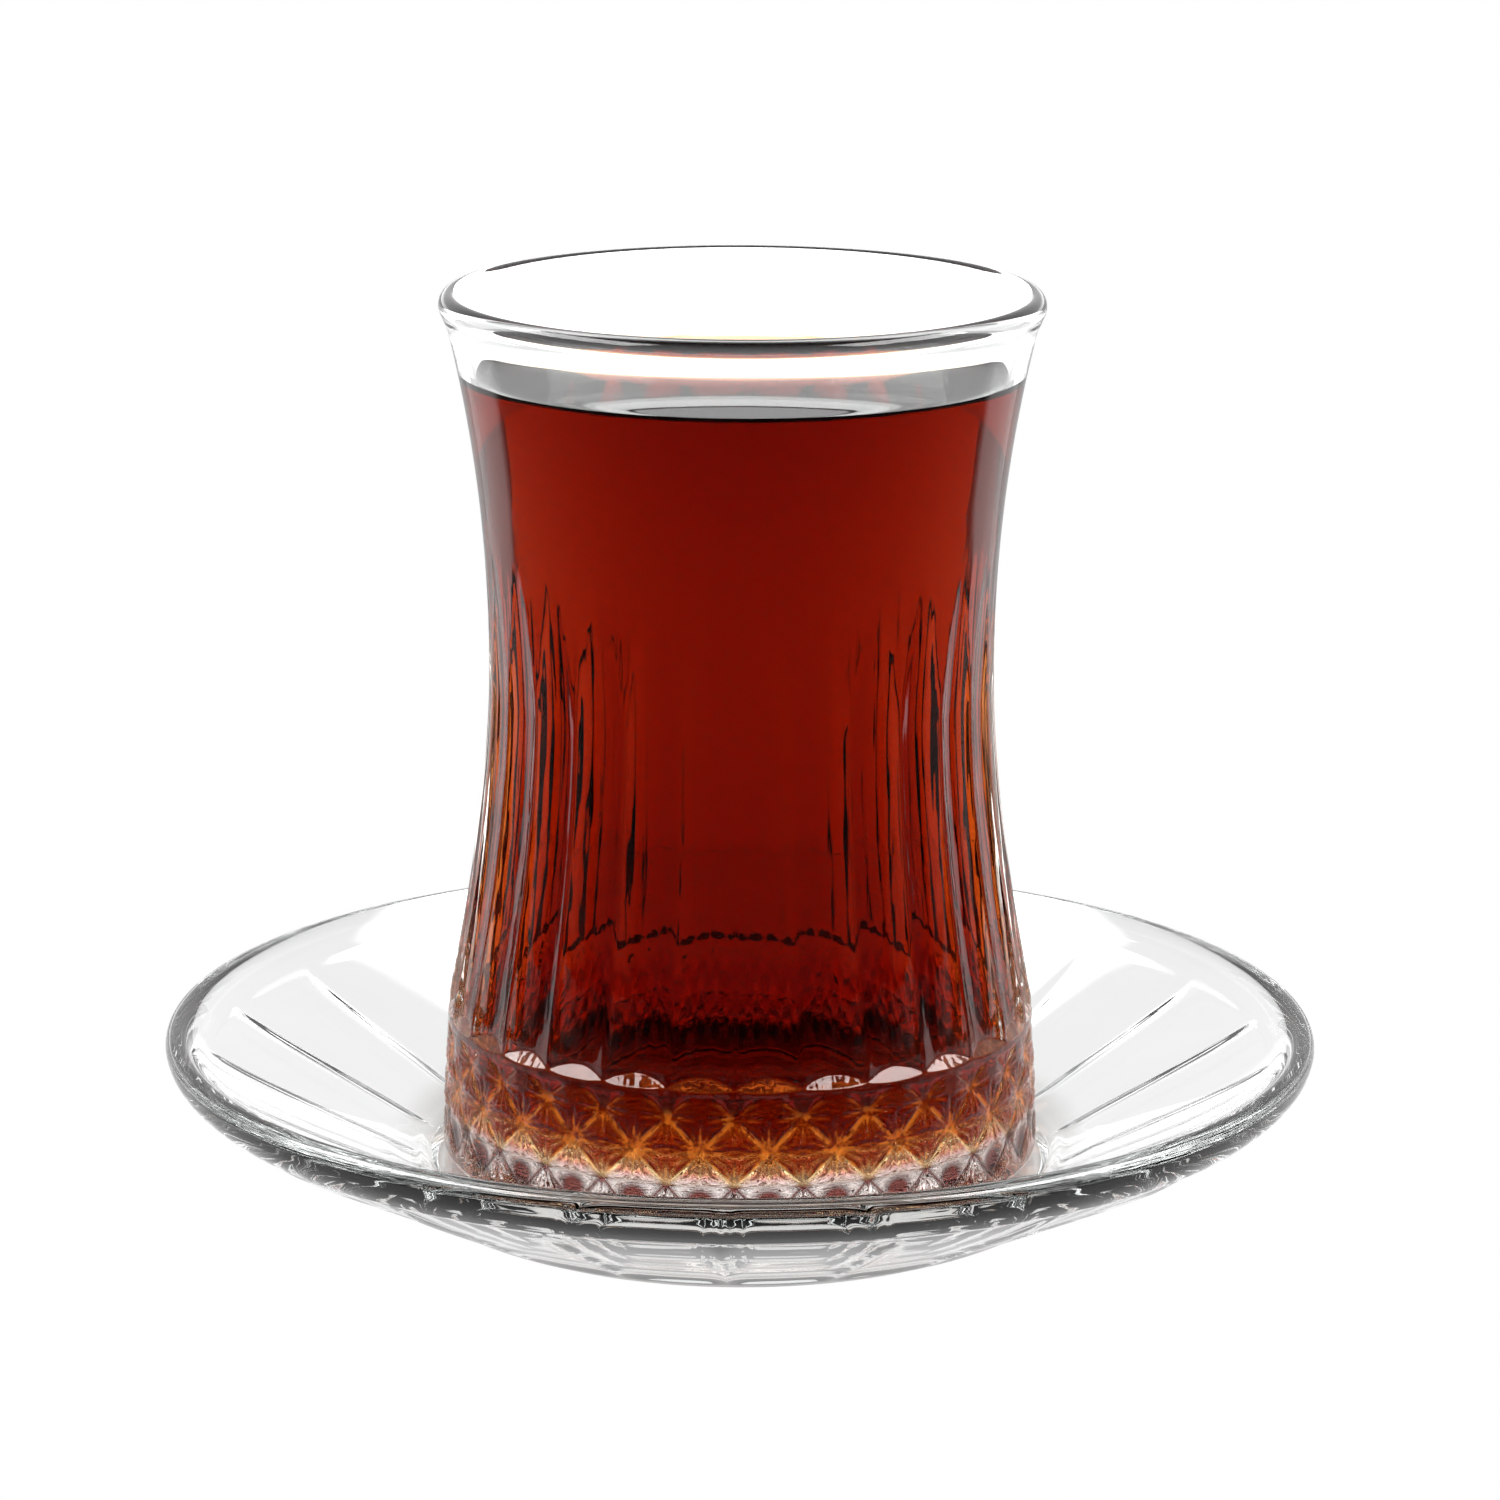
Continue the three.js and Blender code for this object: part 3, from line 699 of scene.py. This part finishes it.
# %% A function for clear materials
def clear_material(name, ior, tint, shine, ripples, soak=None, density=0):
    """Principled transmission with the ripple as bump. Shine scales the mirror reflection
    seen square on. A Volume Absorption behind it leaves, after a path, e to the minus
    density times (1 - colour) times length."""
    material = bpy.data.materials.new(name)
    material.use_nodes = True
    nodes, links = material.node_tree.nodes, material.node_tree.links
    nodes.clear()
    surface = nodes.new("ShaderNodeBsdfPrincipled")
    surface.inputs["Base Color"].default_value = (*tint, 1)
    surface.inputs["Roughness"].default_value = 0.0
    surface.inputs["IOR"].default_value = ior
    surface.inputs["Specular Tint"].default_value = (shine, shine, shine, 1)
    surface.inputs["Transmission Weight"].default_value = 1.0
    place = nodes.new("ShaderNodeTexCoord")
    waves = nodes.new("ShaderNodeGroup")
    waves.node_tree = ripple
    waves.inputs["Coarse Scale"].default_value = ripples["coarse"]
    waves.inputs["Fine Scale"].default_value = ripples["fine"]
    waves.inputs["Upright"].default_value = ripples["upright"]
    waves.inputs["Top"].default_value = ripples["top"]
    bump = nodes.new("ShaderNodeBump")
    bump.inputs["Strength"].default_value = ripples["strength"]
    bump.inputs["Distance"].default_value = ripples["height"]
    links.new(place.outputs["Object"], waves.inputs["Vector"])
    links.new(waves.outputs["Height"], bump.inputs["Height"])
    links.new(bump.outputs["Normal"], surface.inputs["Normal"])
    light_path = nodes.new("ShaderNodeLightPath")
    clear = nodes.new("ShaderNodeBsdfTransparent")
    mix = nodes.new("ShaderNodeMixShader")
    links.new(light_path.outputs["Is Shadow Ray"], mix.inputs[0])
    links.new(surface.outputs["BSDF"], mix.inputs[1])
    links.new(clear.outputs["BSDF"], mix.inputs[2])
    output = nodes.new("ShaderNodeOutputMaterial")
    links.new(mix.outputs["Shader"], output.inputs["Surface"])
    if soak:
        volume = nodes.new("ShaderNodeVolumeAbsorption")
        volume.inputs["Color"].default_value = (*soak, 1)
        volume.inputs["Density"].default_value = density
        links.new(volume.outputs["Volume"], output.inputs["Volume"])
    return material


# %% [markdown]
# The ripple's values differ from place to place. The pressed flutes have long upright
# streaks that end below the neck, the plunger's side is nearly smooth, and under the foot
# there is a stipple. Where tea wets the wall there is hardly any mirror reflection, since
# glass and tea bend light almost alike. Only the saucer and the tea soak up light inside.

# %% Materials of the glass, the saucer and the tea
GLASS_BENDS, TEA_BENDS = 1.5, 1.333
GLASS_TINT, WATER_WHITE = (0.955, 0.965, 0.96), (1, 1, 1)
SAUCER_SOAK, SAUCER_DENSITY = (0.85, 0.88, 0.86), 10
TEA_SOAK, TEA_DENSITY = (0.79, 0.45, 0.02), 255
glass_ripples = {"coarse": 300, "fine": 1100, "upright": 0.03, "top": 0.074}
glass_ripples |= {"strength": 0.45, "height": 0.0005}
inner_ripples = {"coarse": 90, "fine": 400, "upright": 0.3, "top": 1}
inner_ripples |= {"strength": 0.04, "height": 0.0003}
foot_ripples = {"coarse": 700, "fine": 2000, "upright": 1, "top": 1}
foot_ripples |= {"strength": 1, "height": 0.0012}
band_ripples = {"coarse": 300, "fine": 1100, "upright": 1, "top": 1}
band_ripples |= {"strength": 0.08, "height": 0.0003}
saucer_ripples = {"coarse": 60, "fine": 250, "upright": 1, "top": 1}
saucer_ripples |= {"strength": 0.05, "height": 0.0004}
tea_ripples = {"coarse": 60, "fine": 300, "upright": 1, "top": 1}
tea_ripples |= {"strength": 0.02, "height": 0.0002}
glass_material, wetted_material, foot_material, band_material = (
    clear_material(name, GLASS_BENDS, tint, shine, ripples)
    for name, tint, shine, ripples in (
        ("pressed_clear_glass", GLASS_TINT, 0.6, glass_ripples),
        ("glass_wetted_by_tea", WATER_WHITE, 0.05, inner_ripples),
        ("stippled_under_foot", WATER_WHITE, 1, foot_ripples),
        ("star_cut_glass", GLASS_TINT, 0.12, band_ripples),
    )
)
saucer_material = clear_material(
    "saucer_clear_glass", GLASS_BENDS, GLASS_TINT, 1, saucer_ripples, SAUCER_SOAK, SAUCER_DENSITY
)
tea_material = clear_material(
    "dark_tea", TEA_BENDS, WATER_WHITE, 0.1, tea_ripples, TEA_SOAK, TEA_DENSITY
)
print("clear materials of the glass, the saucer and the tea")

# %% [markdown]
# ## Painted light for the star band
#
# The material of the star band takes painted light as its colour from the amber group, and
# painted glints in the deepest lines glow a little, standing in for the light that cut glass
# gathers.


# %% Paint light into the star band's colour
def paint_light_into_cuts(material, colours, glow):
    """Lead a clear material's colour through the amber group with the given colours of painted
    light, and let the painted glints glow a little."""
    nodes, links = material.node_tree.nodes, material.node_tree.links
    place = [n for n in nodes if n.type == "TEX_COORD"][0]
    surface = [n for n in nodes if n.type == "BSDF_PRINCIPLED"][0]
    cut, tint = nodes.new("ShaderNodeAttribute"), nodes.new("ShaderNodeGroup")
    cut.attribute_name = "cut_depth"
    tint.node_tree = amber
    for name, colour in colours.items():
        tint.inputs[name].default_value = (*colour, 1)
    links.new(place.outputs["Object"], tint.inputs["Vector"])
    links.new(cut.outputs["Fac"], tint.inputs["Cut"])
    links.new(tint.outputs["Colour"], surface.inputs["Base Color"])
    shining = mix_colours(nodes, links, tint.outputs["Glint"], grey(0.0), glow)
    links.new(shining, surface.inputs["Emission Color"])
    surface.inputs["Emission Strength"].default_value = 1.0


# Painted glints glow with this colour, though the glass is no lamp.
PAINTED_GLINT_GLOW = (0.3, 0.085, 0.008)
# Painted light: amber on the lines, dark red shade on the lands, a pale highlight at the dish
# edges, shade in the dishes.
painted_cut_light = {
    "Clear": GLASS_TINT,
    "Land": (0.62, 0.07, 0.03),
    "Line": (1.0, 0.6, 0.16),
    "Edge": (1.0, 0.93, 0.9),
    "Dish": (0.04, 0.004, 0.003),
}
paint_light_into_cuts(band_material, painted_cut_light, PAINTED_GLINT_GLOW)
print(band_material.name, "takes its colour from", amber.name)

# %% [markdown]
# ## Put the pieces in the frame
#
# Each fine piece stands for its solid and rides on the one body.

# %% Replace the solids
glass_materials = (glass_material, wetted_material, foot_material, band_material)
for piece, node, slot, materials in (
    (glass, "glass", "clear_glass", glass_materials),
    (tea, "tea", "tea", (tea_material,)),
    (saucer, "saucer", "saucer_glass", (saucer_material,)),
):
    for material in materials:
        piece.data.materials.append(material)
    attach(piece, "root")
    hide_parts(node)
    print(piece.name, "replaces", node)

# %% [markdown]
# ## Floor
#
# A wide white floor. What is seen directly is plain white, as in the photo. What the glass
# mirrors and bends is another matter. There the floor is white only near the saucer and
# behind it, brighter still in a strip far behind, and dark in front and at the sides. Under
# the foot it is amber, because the light that reaches it has come through the tea. Seen
# through a piece, the floor further off is lit on all sides, or the glass would look black
# from behind. The floor glows and scatters nothing, so that light paths end there and the
# render is quick.

# %% Node group for the lit patch of floor
LIT_EDGE = (1.2, 0.9)
STRIP_HALF_WIDTH, STRIP_SPREAD, STRIP_START = 0.025, 1.5, (0.04, 0.055)
POOL_BACK, POOL_STRETCH, POOL_EDGE = 0.012, 1.2, (1.5, 1.0)
AROUND_START = (0.12, 0.15)
CAUSTIC_SCALE, CAUSTIC_RANGE = 220, (0.48, 0.62)


def floor_patch_group():
    """Lit = 1 where the length of (side, front) is below 1: side is |x| less the distance
    behind, over Half Width, and front is the distance in front over Half Depth. Beyond = 1
    where y passes the strip's start plus the spread times what |x| is over the strip's
    half width, so the strip behind the foot gets wider with distance. Under = 1 in an oval
    as wide as the foot and a fifth longer, which lies 12 mm back, and 0 from 1.5 times its
    size outwards. Glint = the part of a noise above its middle, as in a caustic. Around =
    1 from 0.15 m away outwards, on all sides."""
    group = bpy.data.node_groups.new("floor_patch", "ShaderNodeTree")
    face = group.interface
    face.new_socket("Vector", in_out="INPUT", socket_type="NodeSocketVector")
    for name, value in (("Half Width", 0.1), ("Half Depth", 0.068), ("Foot Radius", 0.026)):
        socket = face.new_socket(name, in_out="INPUT", socket_type="NodeSocketFloat")
        socket.default_value = value
    for name in ("Lit", "Beyond", "Under", "Glint", "Around"):
        face.new_socket(name, in_out="OUTPUT", socket_type="NodeSocketFloat")
    nodes, links = group.nodes, group.links
    entry, leave = nodes.new("NodeGroupInput"), nodes.new("NodeGroupOutput")
    split = nodes.new("ShaderNodeSeparateXYZ")
    links.new(entry.outputs["Vector"], split.inputs[0])
    x, y = split.outputs["X"], split.outputs["Y"]
    behind = math_node(nodes, links, "MAXIMUM", y, 0)
    front = math_node(nodes, links, "MINIMUM", y, 0)
    aside = math_node(nodes, links, "ABSOLUTE", x)
    side = math_node(nodes, links, "SUBTRACT", aside, behind)
    side = math_node(nodes, links, "MAXIMUM", side, 0)
    side = math_node(nodes, links, "DIVIDE", side, entry.outputs["Half Width"])
    front = math_node(nodes, links, "DIVIDE", front, entry.outputs["Half Depth"])
    away = plane_length(nodes, links, side, front)
    links.new(smooth_range(nodes, links, away, *LIT_EDGE), leave.inputs["Lit"])
    strip = math_node(nodes, links, "SUBTRACT", aside, STRIP_HALF_WIDTH)
    strip = math_node(nodes, links, "MAXIMUM", strip, 0)
    strip = math_node(nodes, links, "MULTIPLY_ADD", strip, -STRIP_SPREAD, y)
    links.new(smooth_range(nodes, links, strip, *STRIP_START), leave.inputs["Beyond"])
    far_off = plane_length(nodes, links, x, y)
    links.new(smooth_range(nodes, links, far_off, *AROUND_START), leave.inputs["Around"])
    back = math_node(nodes, links, "SUBTRACT", y, POOL_BACK)
    back = math_node(nodes, links, "DIVIDE", back, POOL_STRETCH)
    radius = plane_length(nodes, links, x, back)
    ratio = math_node(nodes, links, "DIVIDE", radius, entry.outputs["Foot Radius"])
    links.new(smooth_range(nodes, links, ratio, *POOL_EDGE), leave.inputs["Under"])
    noise = nodes.new("ShaderNodeTexNoise")
    noise.inputs["Scale"].default_value = CAUSTIC_SCALE
    noise.inputs["Detail"].default_value = 1
    links.new(entry.outputs["Vector"], noise.inputs["Vector"])
    caustic = smooth_range(nodes, links, noise.outputs["Fac"], *CAUSTIC_RANGE)
    links.new(caustic, leave.inputs["Glint"])
    return group


floor_patch = floor_patch_group()
print("node group", floor_patch.name)

# %% Make the floor
MOTTLE, MOTTLE_SCALE, FILTERED = 0.03, 40, 0.75


def floor_material(dark, lit, far, aside, pool, glint):
    """A glowing floor: white for what the camera sees directly. For all else it is dark,
    lit near the saucer, brighter far behind, and of the pool's two colours under the
    foot. Seen through a piece it also has a part, aside, of that light from 0.15 m away
    on all sides. The lit part is mottled by a few percent. In a mirror image the strip far
    behind is a quarter as bright, as through a polarising filter."""
    material = bpy.data.materials.new("pale_floor")
    material.use_nodes = True
    nodes, links = material.node_tree.nodes, material.node_tree.links
    nodes.clear()
    surface, output = nodes.new("ShaderNodeEmission"), nodes.new("ShaderNodeOutputMaterial")
    links.new(surface.outputs["Emission"], output.inputs["Surface"])
    place, patch = nodes.new("ShaderNodeTexCoord"), nodes.new("ShaderNodeGroup")
    patch.node_tree = floor_patch
    links.new(place.outputs["Object"], patch.inputs["Vector"])
    noise, light_path = nodes.new("ShaderNodeTexNoise"), nodes.new("ShaderNodeLightPath")
    noise.inputs["Scale"].default_value = MOTTLE_SCALE
    links.new(place.outputs["Object"], noise.inputs["Vector"])
    mottle = (grey(lit - MOTTLE), grey(lit + MOTTLE))
    paint = mix_colours(nodes, links, noise.outputs["Fac"], *mottle)
    paint = mix_colours(nodes, links, patch.outputs["Beyond"], paint, grey(far))
    through = light_path.outputs["Is Transmission Ray"]
    around = math_node(nodes, links, "MULTIPLY", patch.outputs["Around"], through)
    around = math_node(nodes, links, "MULTIPLY", around, aside)
    shown = math_node(nodes, links, "MAXIMUM", patch.outputs["Lit"], around)
    paint = mix_colours(nodes, links, shown, grey(dark), paint)
    # Painted amber shadow of the tea under the foot, with painted caustic glints.
    under = mix_colours(nodes, links, patch.outputs["Glint"], pool, glint)
    paint = mix_colours(nodes, links, patch.outputs["Under"], paint, under)
    seen = mix_colours(nodes, links, light_path.outputs["Is Camera Ray"], paint, grey(1.0))
    links.new(seen, surface.inputs["Color"])
    mirrored = light_path.outputs["Is Reflection Ray"]
    mirrored = math_node(nodes, links, "MULTIPLY", mirrored, patch.outputs["Beyond"])
    strength = math_node(nodes, links, "MULTIPLY_ADD", mirrored, -FILTERED, 1.0)
    links.new(strength, surface.inputs["Strength"])
    return material


FLOOR_HALF, FLOOR_HEIGHT = 6.0, -0.0002
# Pool and glint: a painted amber shadow under the foot and its painted caustic glints.
floor_light = {"dark": 0.012, "lit": 0.9, "far": 2.4, "aside": 0.6}
floor_light |= {"pool": (0.2, 0.14, 0.11), "glint": (0.5, 0.34, 0.26)}
corners = [(-1, -1), (1, -1), (1, 1), (-1, 1)]
floor_points = [(x * FLOOR_HALF, y * FLOOR_HALF, FLOOR_HEIGHT) for x, y in corners]
floor_mesh = bpy.data.meshes.new("pale_floor")
floor_mesh.from_pydata(floor_points, [], [(0, 1, 2, 3)])
floor = bpy.data.objects.new("pale_floor", floor_mesh)
bpy.context.scene.collection.objects.link(floor)
floor_mesh.materials.append(floor_material(**floor_light))
print("floor", 2 * FLOOR_HALF, "m wide")

# %% [markdown]
# ## Light
#
# Glass has no colour of its own: it shows what is round it. Product photographs of glass
# use a bright field, a white surround low down, against which thick edges go grey. Above is
# a slightly darker ceiling with two soft boxes, whose reflections are the white glints.

# %% World
BEHIND_EDGE, ASIDE_EDGE = (0.15, 0.72), (-0.4, 0.0)
SIDE_LIFT, CEILING_START = (0.1, 0.5), (0.45, 0.8)
GROUND_EDGE, HORIZON_GLOW = (-0.03, 0.0), (0.14, 0.05)


def bright_field(horizon, side, ceiling, front, through):
    """Light by direction. Across: white within 45 degrees of straight behind, brighter at
    the horizon, and at the sides the side level, which begins some way up, and the front
    level in front. Up: full to 27 degrees, then the ceiling's part. Nothing comes from
    below. For what is seen through a piece, across is nowhere under the through level.
    What is seen past the object is plain white."""
    world = bpy.data.worlds.new("bright_field")
    world.use_nodes = True
    nodes, links = world.node_tree.nodes, world.node_tree.links
    place = nodes.new("ShaderNodeTexCoord")
    split, level = nodes.new("ShaderNodeSeparateXYZ"), nodes.new("ShaderNodeVectorMath")
    level.operation = "MULTIPLY"
    level.inputs[1].default_value = (1, 1, 0)
    compass, flat = nodes.new("ShaderNodeVectorMath"), nodes.new("ShaderNodeSeparateXYZ")
    compass.operation = "NORMALIZE"
    links.new(place.outputs["Generated"], split.inputs[0])
    links.new(place.outputs["Generated"], level.inputs[0])
    links.new(level.outputs[0], compass.inputs[0])
    links.new(compass.outputs[0], flat.inputs[0])
    behind = smooth_range(nodes, links, flat.outputs["Y"], *BEHIND_EDGE)
    aside = smooth_range(nodes, links, flat.outputs["Y"], *ASIDE_EDGE)
    lift = smooth_range(nodes, links, split.outputs["Z"], *SIDE_LIFT)
    aside = math_node(nodes, links, "MULTIPLY", aside, lift)
    aside = math_node(nodes, links, "MULTIPLY_ADD", aside, side - front, front)
    across = math_node(nodes, links, "MAXIMUM", behind, aside)
    seen, light_path = nodes.new("ShaderNodeMix"), nodes.new("ShaderNodeLightPath")
    passed = light_path.outputs["Is Transmission Ray"]
    passed = math_node(nodes, links, "MULTIPLY", passed, through)
    across = math_node(nodes, links, "MAXIMUM", across, passed)
    high = smooth_range(nodes, links, split.outputs["Z"], *CEILING_START)
    up = math_node(nodes, links, "MULTIPLY_ADD", high, ceiling - 1, 1)
    above = smooth_range(nodes, links, split.outputs["Z"], *GROUND_EDGE)
    low = smooth_range(nodes, links, split.outputs["Z"], *HORIZON_GLOW)
    low = math_node(nodes, links, "MULTIPLY", low, behind)
    low = math_node(nodes, links, "MULTIPLY_ADD", low, horizon - 1, 1)
    total = math_node(nodes, links, "MULTIPLY", across, up)
    total = math_node(nodes, links, "MULTIPLY", total, low)
    total = math_node(nodes, links, "MULTIPLY", total, above)
    links.new(light_path.outputs["Is Camera Ray"], seen.inputs["Factor"])
    links.new(total, seen.inputs["A"])
    seen.inputs["B"].default_value = 1.0
    links.new(seen.outputs["Result"], nodes["Background"].inputs["Color"])
    bpy.context.scene.world = world


bright_field(horizon=2.0, side=0.85, ceiling=0.9, front=0.01, through=0.45)
print("world", bpy.context.scene.world.name)

# %% Soft boxes
BOX_DISTANCE, AIM_HEIGHT = 0.7, 0.03


def soft_box(name, side, height, size, power):
    """An area light 0.7 m away at a compass angle from the front and a height above the
    table, both in degrees, turned to face the glass."""
    data = bpy.data.lights.new(name, "AREA")
    data.shape = "RECTANGLE"
    data.size, data.size_y = size
    data.energy = power
    box = bpy.data.objects.new(name, data)
    bpy.context.scene.collection.objects.link(box)
    a, e = math.radians(side), math.radians(height)
    away = Vector((math.sin(a) * math.cos(e), -math.cos(a) * math.cos(e), math.sin(e)))
    box.location = away * BOX_DISTANCE + Vector((0, 0, AIM_HEIGHT))
    box.rotation_euler = away.to_track_quat("Z", "Y").to_euler()
    box.light_linking.receiver_collection = lit_pieces


lit_pieces = bpy.data.collections.new("lit_by_soft_boxes")
for piece in (glass, tea, saucer):
    lit_pieces.objects.link(piece)
soft_box("soft_box_left", side=-75, height=42, size=(0.7, 0.28), power=9)
soft_box("soft_box_right", side=72, height=42, size=(0.6, 0.28), power=8)

# %% [markdown]
# ## Camera and picture
#
# A long lens half a metre away looks down on the glass a little, from where the outlines
# of glass and saucer fit those of the photo. Clear pieces stand behind each other, so light
# gets many bounces.

# %% Camera
LENS, PITCH, ROLL = 128.6, 14.112, 0.0041
CAMERA_PLACE = (0.0009, -0.52337, 0.17771)
camera_data = bpy.data.cameras.new("camera")
camera_data.lens = LENS
camera_data.sensor_width = 36
camera = bpy.data.objects.new("camera", camera_data)
bpy.context.scene.collection.objects.link(camera)
camera.location = CAMERA_PLACE
tilt = Matrix.Rotation(math.radians(90 - PITCH), 3, "X")
camera.rotation_euler = (tilt @ Matrix.Rotation(ROLL, 3, "Z")).to_euler()
camera_data.clip_start = 0.01
bpy.context.scene.camera = camera

scene = bpy.context.scene
scene.view_settings.view_transform = "Standard"
scene.cycles.max_bounces = 16
scene.cycles.transmission_bounces = 16
scene.cycles.glossy_bounces = 8
scene.cycles.transparent_max_bounces = 16
scene.cycles.sample_clamp_indirect = 4
scene.cycles.use_denoising = True
print("lens", LENS, "mm, looking down", PITCH, "degrees")
